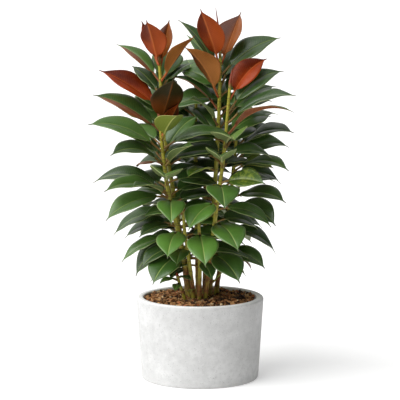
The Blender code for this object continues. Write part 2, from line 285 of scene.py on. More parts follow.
# Leaves that only show here, as rows of the same kind. Most of them are small or deep in the plant.
LESSER_LEAVES = {
    1: [
        (0.835, 140, 64, 0.125, 0, 0, 0.056, "flushed"),
        (0.775, 50, 40, 0.140, 35, 0, 0.060, "mature"),
        (0.755, 140, 48, 0.125, 30, -10, 0.052, "mature"),
        (0.290, 245, 8, 0.080, 50, 0, 0.040, "mature"),
    ],
    2: [
        (0.655, 325, 62, 0.101, 10, -20, 0.044, "flushed"),
        (0.645, 290, 44, 0.140, 30, 0, 0.076, "lime"),
        (0.590, 150, 52, 0.150, 60, -10, 0.062, "mature"),
        (0.577, 135, 16, 0.110, 60, -25, 0.068, "russet"),
        (0.575, 315, 44, 0.120, 30, 10, 0.060, "cupped"),
        (0.495, 225, 36, 0.140, 50, 0, 0.062, "mature"),
        (0.419, 159, 4, 0.158, 54, -25, 0.086, "mature"),
        (0.415, 210, 8, 0.110, 50, -10, 0.056, "mature"),
        (0.376, 177, -19, 0.153, 52, -30, 0.072, "mature"),
        (0.350, 265, 8, 0.110, 50, 0, 0.056, "mature"),
        (0.230, 275, 36, 0.035, 10, 0, 0.018, "lime"),
        (0.360, 212, -2, 0.125, 50, -15, 0.060, "mature"),
    ],
    3: [
        (0.805, 130, 48, 0.165, 20, -10, 0.044, "mature"),
        (0.755, 125, 40, 0.130, 40, -10, 0.058, "mature"),
        (0.645, 130, 52, 0.150, 50, -10, 0.062, "mature"),
        (0.555, 235, 16, 0.130, 45, 0, 0.060, "mottled"),
        (0.255, 340, 48, 0.040, 0, 0, 0.014, "lime"),
    ],
    4: [
        (0.531, 331, 17, 0.128, 38, 35, 0.068, "mottled"),
    ],
    5: [
        (0.655, 95, 36, 0.150, 50, 0, 0.064, "mature"),
        (0.690, 12, 34, 0.140, 45, 25, 0.072, "mature"),
        (0.585, 8, 28, 0.150, 50, 25, 0.072, "mature"),
    ],
    6: [
        (0.325, 295, -12, 0.080, 50, 0, 0.044, "mature"),
    ],
    7: [
        (0.651, 37, 40, 0.151, 57, 15, 0.074, "mature"),
        (0.530, 34, 16, 0.167, 63, 30, 0.084, "mature"),
        (0.416, 38, 6, 0.127, 55, 25, 0.068, "mature"),
        (0.391, 19, -5, 0.164, 56, 30, 0.080, "mature"),
        (0.325, 40, -8, 0.120, 50, 30, 0.066, "russet"),
        (0.575, 50, 12, 0.165, 55, 25, 0.070, "mature"),
        (0.560, 345, 14, 0.105, 40, 25, 0.056, "lime"),
    ],
    8: [
        (0.450, 200, 20, 0.110, 50, -15, 0.050, "mature"),
    ],
    9: [
        (0.280, 320, 15, 0.045, 50, 10, 0.024, "mature"),
        (0.273, 205, 15, 0.052, 55, -10, 0.028, "mature"),
        (0.262, 255, 5, 0.045, 50, 0, 0.024, "mature"),
    ],
    10: [
        (0.470, 40, 20, 0.130, 50, 10, 0.060, "mature"),
    ],
}

# The kinds of leaf that aren't green, each with a slot name.
RED_SLOTS = {"olive": "olive_leaf", "bronze": "bronze_leaf", "flushed": "red_leaf"}


def tint(red, green, blue):
    """A display colour, 0 to 255, as the linear colour that a shader takes."""
    shares = [part / 255 for part in (red, green, blue)]
    linear = [part / 12.92 if part <= 0.04045 else ((part + 0.055) / 1.055) ** 2.4 for part in shares]
    return (*linear, 1.0)


class Wire:
    """One value of a node tree. Arithmetic on wires adds the Math nodes that work it out."""

    def __init__(self, nodes, socket):
        self.nodes = nodes
        self.socket = socket

    def __add__(self, other):
        return self.nodes.maths("ADD", self, other)

    def __radd__(self, other):
        return self.nodes.maths("ADD", other, self)

    def __sub__(self, other):
        return self.nodes.maths("SUBTRACT", self, other)

    def __rsub__(self, other):
        return self.nodes.maths("SUBTRACT", other, self)

    def __mul__(self, other):
        return self.nodes.maths("MULTIPLY", self, other)

    def __abs__(self):
        return self.nodes.maths("ABSOLUTE", self, 0)


class Nodes:
    """The node tree of a material or of the world."""

    def __init__(self, owner):
        owner.use_nodes = True
        self.tree = owner.node_tree

    def add(self, kind, settings=None, inputs=None, output=0):
        """A node of that kind, as the wire from one of its outputs. A ramp's stops are a setting."""
        node = self.tree.nodes.new(kind)
        for name, setting in (settings or {}).items():
            if name == "stops":
                while len(node.color_ramp.elements) < len(setting):
                    node.color_ramp.elements.new(1.0)
                for element, (position, colour) in zip(node.color_ramp.elements, setting):
                    element.position = position
                    element.color = colour
            else:
                setattr(node, name, setting)
        for name, value in (inputs or {}).items():
            self.join(value, node.inputs[name])
        return Wire(self, node.outputs[output])

    def join(self, value, socket):
        """Sets a socket to a constant, or links it to a wire."""
        if isinstance(value, Wire):
            self.tree.links.new(value.socket, socket)
        else:
            socket.default_value = value

    def maths(self, operation, first, second):
        return self.add("ShaderNodeMath", {"operation": operation}, {0: first, 1: second})

    def place(self):
        """The point in the object's own coordinates, in metres."""
        return self.add("ShaderNodeTexCoord", output="Object")

    def parts(self, vector):
        """The X, Y and Z of a vector."""
        split = self.add("ShaderNodeSeparateXYZ", inputs={0: vector}, output="X").socket.node
        return [Wire(self, split.outputs[axis]) for axis in "XYZ"]

    def sized(self, vector, scale):
        """A vector stretched along each axis."""
        return self.add("ShaderNodeMapping", inputs={"Vector": vector, "Scale": scale})

    def noise(self, vector, scale, detail=3.0, roughness=0.5, distortion=0.0):
        values = {
            "Vector": vector,
            "Scale": scale,
            "Detail": detail,
            "Roughness": roughness,
            "Distortion": distortion,
        }
        return self.add("ShaderNodeTexNoise", inputs=values, output="Fac")

    def step(self, value, low, high):
        """0 below low and 1 above high, smoothly, or the other way round where low is the larger."""
        values = {"Value": value, "From Min": low, "From Max": high}
        return self.add("ShaderNodeMapRange", {"interpolation_type": "SMOOTHSTEP"}, values)

    def mix(self, share, first, second):
        """Two colours blended, with share as the second's part."""
        return self.add("ShaderNodeMix", {"data_type": "RGBA"}, {0: share, 6: first, 7: second}, output=2)

    def attribute(self, name):
        """A value that each point of a mesh has of its own."""
        return self.add("ShaderNodeAttribute", {"attribute_name": name}, output="Fac")


class Finish(Nodes):
    """A new material. The sockets that are the same all over it are set from the start."""

    def __init__(self, name, **constants):
        self.material = bpy.data.materials.new(name)
        super().__init__(self.material)
        self.sockets = self.tree.nodes["Principled BSDF"].inputs
        for socket, value in constants.items():
            self.sockets[socket.replace("_", " ")].default_value = value

    def finished(self, colour, roughness, relief, depth, strength):
        """The material, with its varying looks joined to its shader."""
        values = {"Height": relief, "Distance": depth, "Strength": strength}
        self.join(colour, self.sockets["Base Color"])
        self.join(roughness, self.sockets["Roughness"])
        self.join(self.add("ShaderNodeBump", inputs=values), self.sockets["Normal"])
        return self.material


# Colours of each kind of leaf. Each face has a deep and a fresh one, and the ribs have one for each face.
# On the red kinds the fresh one is also painted light, on the half of a leaf that faces the front.
GREENS = (tint(36, 64, 22), tint(76, 114, 44))
LEAF_TINTS = {
    "mature": {
        "above": GREENS,
        "below": (tint(98, 112, 66), tint(128, 142, 92)),
        "ribs": (tint(150, 168, 92), tint(176, 176, 116)),
        "margin": tint(150, 160, 96),
        "stalk": tint(128, 100, 48),
    },
    "russet": {
        "above": GREENS,
        "below": (tint(104, 48, 22), tint(140, 80, 42)),
        "ribs": (tint(150, 166, 90), tint(150, 92, 54)),
        "margin": tint(132, 116, 66),
        "stalk": tint(132, 74, 38),
    },
    "cupped": {
        "above": (tint(58, 88, 32), tint(92, 126, 50)),
        "below": (tint(112, 128, 76), tint(138, 152, 98)),
        "ribs": (tint(160, 174, 100), tint(186, 188, 130)),
        "margin": tint(170, 176, 116),
        "stalk": tint(140, 120, 60),
    },
    "mottled": {
        "above": (tint(64, 98, 30), tint(150, 168, 60)),
        "below": (tint(118, 128, 70), tint(168, 168, 92)),
        "ribs": (tint(160, 172, 88), tint(180, 180, 106)),
        "margin": tint(172, 176, 92),
        "stalk": tint(140, 116, 56),
    },
    "lime": {
        "above": (tint(86, 108, 30), tint(128, 144, 50)),
        "below": (tint(116, 128, 48), tint(150, 158, 76)),
        "ribs": (tint(176, 180, 96), tint(182, 184, 104)),
        "margin": tint(172, 170, 90),
        "stalk": tint(150, 128, 56),
    },
    "olive": {
        "above": (tint(34, 32, 6), tint(60, 46, 10)),
        "below": (tint(30, 28, 4), tint(104, 50, 10)),
        "ribs": (tint(96, 74, 22), tint(116, 64, 20)),
        "margin": tint(72, 54, 18),
        "stalk": tint(160, 84, 30),
    },
    "bronze": {
        "above": (tint(72, 28, 4), tint(146, 80, 30)),
        "below": (tint(80, 36, 6), tint(160, 100, 46)),
        "ribs": (tint(176, 108, 50), tint(186, 116, 60)),
        "margin": tint(150, 92, 40),
        "stalk": tint(176, 90, 44),
    },
    "flushed": {
        "above": (tint(76, 18, 2), tint(150, 56, 14)),
        "below": (tint(84, 24, 4), tint(156, 66, 18)),
        "ribs": (tint(184, 96, 44), tint(190, 104, 52)),
        "margin": tint(150, 66, 22),
        "stalk": tint(196, 100, 60),
    },
}
LEAF_TINTS["open"] = {**LEAF_TINTS["mature"], "above": (tint(46, 82, 24), tint(88, 132, 50))}

# What else the two faces of a leaf differ in. Veins sink into the upper face and stand out of the lower.
FACES = {
    "above": {
        "gloss": 0.72,
        "roughness": 0.33,
        "rib width": 0.0013,
        "vein colour": 0.10,
        "vein relief": 0.30,
        "flecks": tint(176, 176, 120),
    },
    "below": {
        "gloss": 0.40,
        "roughness": 0.46,
        "rib width": 0.0019,
        "vein colour": 0.16,
        "vein relief": -0.45,
        "flecks": tint(96, 84, 54),
    },
}
RED_GLOSS = 0.22
VEIN_SPACING = 0.0052
TIP_TINT = tint(66, 40, 22)


def leaf_finish(kind, face):
    """The waxy skin of one face of a leaf: "above" or "below"."""
    tints = LEAF_TINTS[kind]
    look = FACES[face]
    upper = face == "above"
    red = kind in RED_SLOTS
    gloss = RED_GLOSS if red else look["gloss"]
    nodes = Finish(f"{kind}_leaf_{face}", IOR=1.45, Specular_IOR_Level=gloss)

    along, across, _ = nodes.parts(nodes.add("ShaderNodeUVMap", {"uv_map": "shares"}))
    run, reach, _ = nodes.parts(nodes.add("ShaderNodeUVMap", {"uv_map": "metres"}))
    out = abs(across * 2 - 1)
    reach = abs(reach)
    tone = nodes.attribute("tone")
    front = nodes.attribute("front")
    place = nodes.place()

    cloud = nodes.noise(place, 22, detail=2)
    blotch = nodes.noise(place, 120, detail=3, roughness=0.6)
    grain = nodes.noise(place, 900, detail=2)
    freshness_and_lit_half = nodes.step(tone * 0.75 + cloud * 0.5 + blotch * 0.2 - 0.35, 0.1, 0.9)
    if kind == "russet" and upper:
        blush = nodes.step(front, 0.49, 0.53) * nodes.step(along, 0.96, 0.80)
        freshness_and_lit_half = freshness_and_lit_half * 0.7 + 0.15
    # On red leaves the half that faces the front is painted in the fresh, lighter colour as painted
    # light, and the part towards the stalk is lighter as well.
    if red:
        painted_lit_half_and_pale_base = nodes.step(front, 0.30, 0.62) * 0.45 + nodes.step(along, 0.75, 0.2) * 0.35
        freshness_and_lit_half = nodes.step(painted_lit_half_and_pale_base + cloud * 0.55 + blotch * 0.25 - 0.30, 0.05, 0.85)
    if kind == "olive":
        freshness_and_lit_half = nodes.step(along + (cloud - 0.5) * 0.25, 0.66, 0.28)
    if kind == "mottled":
        freshness_and_lit_half = nodes.step(cloud * 0.6 + blotch * 0.9 + tone * 0.2, 0.7, 1.05)
    deep, fresh = tints[face]
    colour = nodes.mix(freshness_and_lit_half, deep, fresh)
    if kind == "russet" and upper:
        colour = nodes.mix(blush, colour, nodes.mix(blotch, tint(92, 40, 14), tint(150, 82, 44)))

    rib_tint = tints["ribs"][0 if upper else 1]
    bend = nodes.noise(place, 60, detail=1) * 0.0016
    slant = run - reach * 0.42 + bend
    ripple = nodes.maths("SINE", slant * (2 * math.pi / VEIN_SPACING), 0) * 0.5 + 0.5
    veins = nodes.step(ripple, 0.72, 1.0) * nodes.step(out, 0.03, 0.12) * nodes.step(out, 1.0, 0.9)
    veins = veins * nodes.step(along, 0.16, 0.22)
    colour = nodes.mix(veins * look["vein colour"], colour, rib_tint)

    faint = red or (upper and kind not in ("open", "cupped"))
    width = look["rib width"]
    rib = nodes.step(reach, width * 1.5, width * 0.5) * nodes.step(along, 0.97, 0.80)
    colour = nodes.mix(rib * (0.55 if faint else 0.8), colour, rib_tint)

    edge = nodes.step(out, 0.955, 0.985) * nodes.step(along, 0.17, 0.25)
    colour = nodes.mix(edge * 0.75, colour, tints["margin"])
    tip = nodes.step(along, 0.945, 0.985)
    colour = nodes.mix(tip * 0.7, colour, TIP_TINT)
    stalk = nodes.step(along, 0.185, 0.145)
    stalk_tint = nodes.mix(nodes.step(blotch, 0.4, 0.65) * 0.4, tints["stalk"], tint(118, 84, 52))
    colour = nodes.mix(stalk, colour, stalk_tint)
    flecks = nodes.step(nodes.noise(place, 420, detail=1), 0.70, 0.76)
    colour = nodes.mix(flecks * 0.22, colour, look["flecks"])

    patchy = look["roughness"] + (blotch - 0.5) * 0.16 + (cloud - 0.5) * 0.12
    roughness = patchy + rib * 0.08 + stalk * 0.08
    relief = blotch * 0.35 + grain * 0.10 - veins * look["vein relief"]
    return nodes.finished(colour, roughness, relief, 0.00045, 0.55)


def stem_finish():
    """Brown bark low on a stem and young green bark above, with pores, streaks and dark rings."""
    nodes = Finish("stem_bark", IOR=1.45)
    place = nodes.place()
    height = nodes.parts(place)[2]
    scar = nodes.attribute("scar")
    young = nodes.attribute("young")
    streaks = nodes.noise(nodes.sized(place, (1, 1, 0.12)), 420, detail=4, roughness=0.6)
    patches = nodes.noise(place, 45, detail=3)
    pores = nodes.step(nodes.noise(nodes.sized(place, (1, 1, 0.5)), 620, detail=1), 0.63, 0.70)

    old = nodes.mix(nodes.step(streaks, 0.35, 0.70), tint(110, 62, 28), tint(158, 104, 52))
    green = nodes.mix(nodes.step(streaks, 0.35, 0.75), tint(134, 130, 28), tint(186, 176, 58))
    ageing = nodes.step(abs(young - 0.08) * 2.2 + (patches - 0.5) * 0.9, 0.0, 0.42)
    colour = nodes.mix(ageing, old, green)
    colour = nodes.mix(pores * 0.45, colour, tint(160, 138, 80))
    colour = nodes.mix(scar * 0.75, colour, tint(80, 56, 26))
    colour = nodes.mix(nodes.step(height, 0.228, 0.214) * 0.4, colour, tint(96, 78, 34))
    roughness = 0.72 - ageing * 0.24 + (patches - 0.5) * 0.15
    relief = streaks * (1.1 - ageing * 0.7) + pores * 0.5 - scar * 0.6
    return nodes.finished(colour, roughness, relief, 0.0006, 0.7)


def bud_finish():
    """The rolled red sheath of an unopened leaf."""
    nodes = Finish("bud_sheath", IOR=1.46)
    place = nodes.place()
    climb = nodes.attribute("climb")
    streaks = nodes.noise(nodes.sized(place, (1, 1, 0.08)), 700, detail=3)
    colour = nodes.mix(nodes.step(climb, 0.0, 0.35), tint(128, 120, 56), tint(120, 44, 22))
    colour = nodes.mix(nodes.step(streaks, 0.45, 0.75) * 0.6, colour, tint(182, 96, 62))
    colour = nodes.mix(nodes.step(climb, 0.75, 1.0) * 0.7, colour, tint(70, 26, 14))
    return nodes.finished(colour, 0.38 + (streaks - 0.5) * 0.2, streaks, 0.0003, 0.6)


def concrete_finish():
    """Fine pale cast concrete: cloudy, speckled with sand, and pricked with pinholes."""
    nodes = Finish("cast_concrete", IOR=1.5)
    place = nodes.place()
    height = nodes.parts(place)[2]
    clouds = nodes.noise(nodes.sized(place, (1, 1, 1.7)), 9, detail=5, roughness=0.55, distortion=0.4)
    mottle = nodes.noise(place, 60, detail=4, roughness=0.65)
    sand = nodes.noise(place, 950, detail=2, roughness=0.7)
    speck = nodes.step(nodes.noise(place, 330, detail=1), 0.68, 0.74)
    pale_speck = nodes.step(nodes.noise(nodes.sized(place, (1.3, 1.3, 1.3)), 410, detail=1), 0.70, 0.76)
    holes = {"Vector": place, "Scale": 95.0, "Randomness": 1.0}
    gap = nodes.add("ShaderNodeTexVoronoi", inputs=holes, output="Distance")
    pinhole = nodes.step(gap, 0.10, 0.05) * nodes.step(nodes.noise(place, 26, detail=1), 0.50, 0.62)

    colour = nodes.mix(nodes.step(clouds, 0.30, 0.70), tint(198, 198, 197), tint(214, 214, 213))
    colour = nodes.mix(nodes.step(mottle, 0.35, 0.72) * 0.55, colour, tint(184, 184, 183))
    colour = nodes.mix((sand - 0.35) * 0.60, colour, tint(160, 160, 158))
    colour = nodes.mix(speck * 0.55, colour, tint(120, 119, 117))
    # The top of the rim is painted near-white, as painted light falling on it from above.
    lip = nodes.step(height, POT_HEIGHT - 0.004, POT_HEIGHT)
    colour = nodes.mix(lip * 0.9, colour, tint(246, 246, 245))
    colour = nodes.mix(pale_speck * 0.5, colour, tint(236, 236, 235))
    colour = nodes.mix(pinhole * 0.6, colour, tint(112, 111, 109))
    # The lowest centimetre of the wall is painted darker, as painted shade where the pot meets the floor.
    foot = nodes.step(height, 0.010, 0.0) * 0.30
    colour = nodes.mix(foot, colour, tint(176, 174, 171))
    relief = mottle * 0.6 + sand * 0.35 - pinhole * 1.5 + pale_speck * 0.2
    return nodes.finished(colour, 0.78 + (mottle - 0.5) * 0.25, relief, 0.0007, 0.6)


def chip_finish():
    """Shredded bark, each chip in its own brown, with a fine grain."""
    nodes = Finish("bark_chip", IOR=1.4)
    place = nodes.place()
    tone = nodes.attribute("tone")
    stops = [
        (0.0, tint(40, 26, 14)),
        (0.25, tint(84, 54, 30)),
        (0.45, tint(168, 116, 70)),
        (0.68, tint(222, 170, 112)),
        (0.85, tint(190, 104, 56)),
        (1.0, tint(255, 226, 176)),
    ]
    base = nodes.add("ShaderNodeValToRGB", {"stops": stops}, {"Fac": tone}, output="Color")
    grain = nodes.noise(place, 1400, detail=4, roughness=0.7)
    patches = nodes.noise(place, 260, detail=3)
    colour = nodes.mix(nodes.step(grain, 0.3, 0.75) * 0.45, base, tint(34, 22, 15))
    colour = nodes.mix(nodes.step(patches, 0.55, 0.8) * 0.4, colour, tint(150, 116, 82))
    return nodes.finished(colour, 0.8 + (grain - 0.5) * 0.3, grain + patches * 0.6, 0.0008, 0.9)


def earth_finish(name, dark, pale):
    """Crumbs of damp potting soil."""
    nodes = Finish(name, IOR=1.4)
    place = nodes.place()
    crumbs = nodes.noise(place, 260, detail=6, roughness=0.7)
    clods = nodes.noise(place, 60, detail=4)
    colour = nodes.mix(nodes.step(crumbs, 0.35, 0.72), dark, pale)
    colour = nodes.mix(nodes.step(clods, 0.4, 0.7) * 0.5, colour, dark)
    return nodes.finished(colour, 0.86 + (crumbs - 0.5) * 0.2, crumbs + clods, 0.003, 0.9)


def add_piece(name, shape, materials, stands_for=()):
    """A bmesh as a smooth piece of the object, in place of its solids."""
    mesh = bpy.data.meshes.new(name)
    shape.to_mesh(mesh)
    shape.free()
    mesh.shade_smooth()
    piece = bpy.data.objects.new(name, mesh)
    bpy.context.scene.collection.objects.link(piece)
    for material in materials:
        mesh.materials.append(material)
    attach(piece, "root")
    if stands_for:
        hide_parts(*stands_for)
    return piece


def eased(value, low, high):
    """0 at low and 1 at high, smoothly, or the other way round where low is the larger."""
    share = min(max((value - low) / (high - low), 0.0), 1.0)
    return share * share * (3 - 2 * share)


def smooth_between(before, start, end, after, t):
    """A point on the Catmull-Rom curve between start and end."""
    linear = end - before
    square = 2 * before - 5 * start + 4 * end - after
    cube = 3 * start - before - 3 * end + after
    return start + 0.5 * (linear * t + square * t**2 + cube * t**3)


def stem_line(stem):
    """(point, radius) pairs along a stem, from its root end to its growing tip."""
    root_radius = STEM_RADII[stem]
    knots = [Vector(point) for point in ALL_STEMS[stem]]
    axis = knots[:2]
    for around in zip(knots, knots[1:], knots[2:], knots[3:]):
        axis += [smooth_between(*around, step / STEM_STEPS) for step in range(1, STEM_STEPS + 1)]
    ground = knots[1].z
    top = knots[-2].z
    pairs = []
    for point in axis:
        share = max(0.0, (point.z - ground) / (top - ground))
        pairs.append((point, root_radius + (STEM_TIP_RADIUS - root_radius) * share))
    return pairs


STEM_LINES = {stem: stem_line(stem) for stem in ALL_STEMS}


def stem_at(stem, height):
    """The stem's axis point and radius at a height."""
    pairs = STEM_LINES[stem]
    for (low, low_radius), (high, high_radius) in zip(pairs, pairs[1:]):
        if height <= high.z:
            share = (height - low.z) / (high.z - low.z)
            return low.lerp(high, share), low_radius + (high_radius - low_radius) * share
    return pairs[-1]


def node_heights(stem):
    """Where leaves grow or once grew on a stem: at each leaf, and at uneven steps on the wood between."""
    rows = LEAVES.get(stem, []) + LESSER_LEAVES[stem]
    heights = sorted(row[0] for row in rows if row[0] > LEAF_NODES_FROM)
    chance = random.Random(f"nodes of stem {stem}")
    mark = BARE_NODES_FROM + 0.01 * chance.random()
    bare = []
    while mark < heights[-1]:
        if min(abs(mark - height) for height in heights) > 0.35 * INTERNODE:
            bare.append(mark)
        mark += INTERNODE * chance.uniform(0.75, 1.25)
    return sorted(heights + bare)


def upright_tube(sides, cuts):
    """A closed tube of radius and height 1 about +Z, cut level all the way up."""
    shape = bmesh.new()
    bmesh.ops.create_cone(shape, cap_ends=True, segments=sides, radius1=1, radius2=1, depth=1)
    upright = [edge for edge in shape.edges if abs(edge.verts[0].co.z - edge.verts[1].co.z) > 0.5]
    bmesh.ops.subdivide_edges(shape, edges=upright, cuts=cuts)
    return shape


def add_stem(stem, material):
    """A stem, swollen and scarred at each node and flared where it enters the mulch."""
    pairs = STEM_LINES[stem]
    low, high = pairs[0][0].z, pairs[-1][0].z
    heights = node_heights(stem)
    shape = upright_tube(STEM_SIDES, round((high - low) / STEM_RING_SPACING))
    scar = shape.verts.layers.float.new("scar")
    young = shape.verts.layers.float.new("young")
    chance = random.Random(f"bark of stem {stem}")
    lean = chance.uniform(0, math.tau)
    for vertex in shape.verts:
        turn = math.atan2(vertex.co.y, vertex.co.x)
        height = low + (high - low) * (vertex.co.z + 0.5)
        centre, radius = stem_at(stem, height)
        swell = 0.0
        ring = 0.0
        for index, node in enumerate(heights):
            tilt = node + 0.0011 * math.sin(turn + 2.4 * index)
            swell += NODE_SWELL * math.exp(-(((height - tilt) / (2 * NODE_HALF_LENGTH)) ** 2))
            ring += math.exp(-(((height - tilt - 0.0012) / 0.0011) ** 2))
        wobble = 0.025 * math.sin(3 * turn + lean + 40 * height) + 0.02 * math.sin(5 * turn + 90 * height)
        flare = 0.08 * math.exp(-((height - 0.21) / 0.018) ** 2)
        width = radius * (1 + swell + wobble + flare - 0.10 * min(ring, 1.0))
        vertex[scar] = min(ring, 1.0)
        vertex[young] = (height - 0.235) / (high - 0.235)
        vertex.co = centre + Vector((math.cos(turn), math.sin(turn), 0)) * width
    stands_for = [f"stem_{stem}"] if stem in STEMS else []
    return add_piece(f"green_stem_{stem}", shape, [material], stands_for)


def add_bud(stem, material):
    """The pointed sheath at a stem's growing tip, curving up from it."""
    tip, radius = STEM_LINES[stem][-1]
    below = STEM_LINES[stem][-6][0]
    point = Vector(ALL_STEMS[stem][-1])
    shape = upright_tube(BUD_SIDES, BUD_STEPS)
    climb = shape.verts.layers.float.new("climb")
    heading = (tip - below).normalized()
    middle = tip + heading * (point - tip).length * 0.45
    for vertex in shape.verts:
        turn = math.atan2(vertex.co.y, vertex.co.x)
        share = vertex.co.z + 0.5
        centre = tip * (1 - share) ** 2 + middle * (2 * share * (1 - share)) + point * share**2
        centre -= heading * BUD_SUNK * (1 - share)
        belly = 1 + 0.22 * math.sin(math.pi * min(share * 2.2, 1.0))
        width = radius * belly * (1 - share**1.5) + BUD_POINT_RADIUS
        width *= 1 - 0.10 * math.cos(2 * turn + 5 * share)
        vertex[climb] = share
        vertex.co = centre + Vector((math.cos(turn), math.sin(turn), 0)) * width
    return add_piece(f"bud_{stem}", shape, [material])


def leaf_stations():
    """Shares of the length where a leaf has a row of vertices: close together where its outline turns."""
    blade_end = PETIOLE_SHARE + (1 - PETIOLE_SHARE) * DRIP_TIP_AT
    stalk = [PETIOLE_SHARE * 0.9 * i / PETIOLE_STATIONS for i in range(PETIOLE_STATIONS)]
    start = PETIOLE_SHARE * 0.9
    blade = []
    for i in range(BLADE_STATIONS + 1):
        even = i / BLADE_STATIONS
        crowded = 0.5 - 0.5 * math.cos(math.pi * even)
        blade.append(start + (blade_end - start) * (0.55 * crowded + 0.45 * even))
    tip = [blade_end + (1 - blade_end) * (i + 1) / TIP_STATIONS for i in range(TIP_STATIONS)]
    return stalk + blade + tip


STATIONS = leaf_stations()
COLUMNS = [0, 0.022, 0.055, 0.12, 0.26, 0.44, 0.64, 0.83, 1.0]


def rise_at(share, rise, droop):
    """The angle of a leaf's spine above the horizon, at a share of its length."""
    return math.radians(rise - droop * share**DROOP_POWER)


def leaf_spine(stem, row):
    """Points along a leaf's spine, one for each station, from inside its stem."""
    height, heading, rise, length, droop = row[:5]
    centre, radius = stem_at(stem, height)
    facing = math.radians(heading)
    out = Vector((math.cos(facing), math.sin(facing), 0))
    clearance = 0.0006 + 0.0025 * abs(math.sin(math.radians(rise)))
    base = centre + out * (radius + clearance)
    socket = stem_at(stem, height - 0.003)[0] + out * radius * 0.55
    points = []
    place = base.copy()
    for before, share in zip([0.0, *STATIONS], STATIONS):
        stretch = (share - before) / SPINE_STEPS
        for step in range(SPINE_STEPS):
            angle = rise_at(before + (step + 0.5) * stretch, rise, droop)
            place += (out * math.cos(angle) + Vector((0, 0, math.sin(angle)))) * length * stretch
        pull = max(0.0, 1 - share * length / 0.014) ** 2
        points.append(place + (socket - base) * pull)
    return points


def leaf_half_width(share, width):
    """Half the blade's width there, drawn out at its end into a narrow drip tip."""
    blade_share = (share - PETIOLE_SHARE) / (1 - PETIOLE_SHARE)
    if blade_share <= 0:
        return 0.0
    ripe = min(blade_share / DRIP_TIP_AT, 1.0)
    blade = 0.5 * width * math.sin(math.pi * ripe**0.95) ** (0.68 + 0.27 * ripe)
    needle = DRIP_TIP_HALF_WIDTH * eased(blade_share, 0.5, 0.9) * (1.12 - blade_share) ** 0.5 / 0.35
    return math.hypot(blade, needle * (1 - 0.55 * eased(blade_share, 0.9, 1.0)))


def curled(reach, half, slope, turn):
    """Where a point of a curling strip lies across it and above its middle.

    The strip is half wide to each side. It leaves its middle at slope, and turns by turn on its way to
    its edge.
    """
    if abs(turn) < 1e-4:
        return reach * math.cos(slope), reach * math.sin(slope)
    curve = turn / half
    end = slope + curve * reach
    return (math.sin(end) - math.sin(slope)) / curve, (math.cos(slope) - math.cos(end)) / curve


def skin_layers(shape):
    """The layers that a leaf's finish reads: two maps, the leaf's tone, and its front and back halves."""
    return (
        shape.loops.layers.uv.new("shares"),
        shape.loops.layers.uv.new("metres"),
        shape.verts.layers.float.new("tone"),
        shape.verts.layers.float.new("front"),
    )


def grow_leaf(shape, layers, name, stem, row):
    """Adds a leaf's sheet to shape: a round stalk that opens into a folded blade with a drip tip."""
    _, heading, rise, length, droop, roll, width, kind = row
    shares, metres, toned, fronted = layers
    chance = random.Random(name)
    rows, columns = len(STATIONS) - 1, 2 * (len(COLUMNS) - 1)
    made = bmesh.ops.create_grid(shape, x_segments=rows, y_segments=columns, size=0.5)["verts"]
    spine = leaf_spine(stem, row)
    facing = math.radians(heading)
    out = Vector((math.cos(facing), math.sin(facing), 0))
    level_side = Vector((-math.sin(facing), math.cos(facing), 0))
    fold = math.radians(FOLDS[kind] + chance.uniform(-3, 3))
    bow = math.radians(chance.uniform(22, 38))
    twist = math.radians(chance.uniform(-9, 9))
    swerve = chance.uniform(-0.004, 0.004)
    waves = chance.uniform(1.6, 3.2)
    phases = [chance.uniform(0, math.tau) for _ in range(2)]
    wave = chance.uniform(0.0006, 0.0018)
    tone = chance.random()
    flat = curled(1.0, 1.0, fold + bow / 2, -bow)[0]

    where = {}
    for vertex in made:
        index = round((vertex.co.x + 0.5) * rows)
        column = round((vertex.co.y + 0.5) * columns) - columns // 2
        across = math.copysign(COLUMNS[abs(column)], column)
        share = STATIONS[index]
        opened = eased(share, PETIOLE_SHARE * 0.86, PETIOLE_SHARE * 1.5)
        flare = 0.7 * max(0.0, 1 - share * length / 0.008) + 0.3 * eased(share, 0.08, 0.15)
        stalk = PETIOLE_RADIUS * (1 + flare)
        half = leaf_half_width(share, width) / flat * opened + math.pi * stalk * (1 - opened)
        reach = abs(across) * half
        curl = math.pi * (1 - opened) - bow * opened
        aside, above = curled(reach, half, (fold + bow / 2) * opened, curl)
        aside = math.copysign(aside, across)
        above -= stalk * (1 - opened)
        above -= RIB_DEPTH * math.exp(-((reach / RIB_HALF_WIDTH) ** 2)) * opened * (1 - share**3)
        phase = phases[0] if across > 0 else phases[1]
        above += wave * across**2 * math.sin(math.tau * waves * share + phase) * min(half / 0.03, 1.0)
        angle = rise_at(share, rise, droop)
        along = out * math.cos(angle) + Vector((0, 0, math.sin(angle)))
        up = along.cross(level_side)
        turned = math.radians(roll) + twist * share
        side = level_side * math.cos(turned) + up * math.sin(turned)
        vertex.co = spine[index] + side * (aside + swerve * share**2) + along.cross(side) * above
        vertex[toned] = tone
        vertex[fronted] = 0.5 + 0.5 * across * math.copysign(1, -level_side.y)
        where[vertex] = (share, 0.5 + 0.5 * across, share * length, math.copysign(reach, across))

    faces = {face for vertex in made for face in vertex.link_faces}
    for face in faces:
        for loop in face.loops:
            share, across, run, reach = where[loop.vert]
            loop[shares].uv = (share, across)
            loop[metres].uv = (run, reach)


def finish_leaves(name, shape, kind, stands_for=()):
    """Leaf sheets as a piece, with a thickness and a skin for each face."""
    skins = [LEAF_FINISHES[kind, "above"], LEAF_FINISHES[kind, "below"]]
    piece = add_piece(name, shape, skins, stands_for)
    wall = piece.modifiers.new("blade thickness", "SOLIDIFY")
    wall.thickness = BLADE_THICKNESS
    wall.offset = -1
    wall.material_offset = 1
    return piece


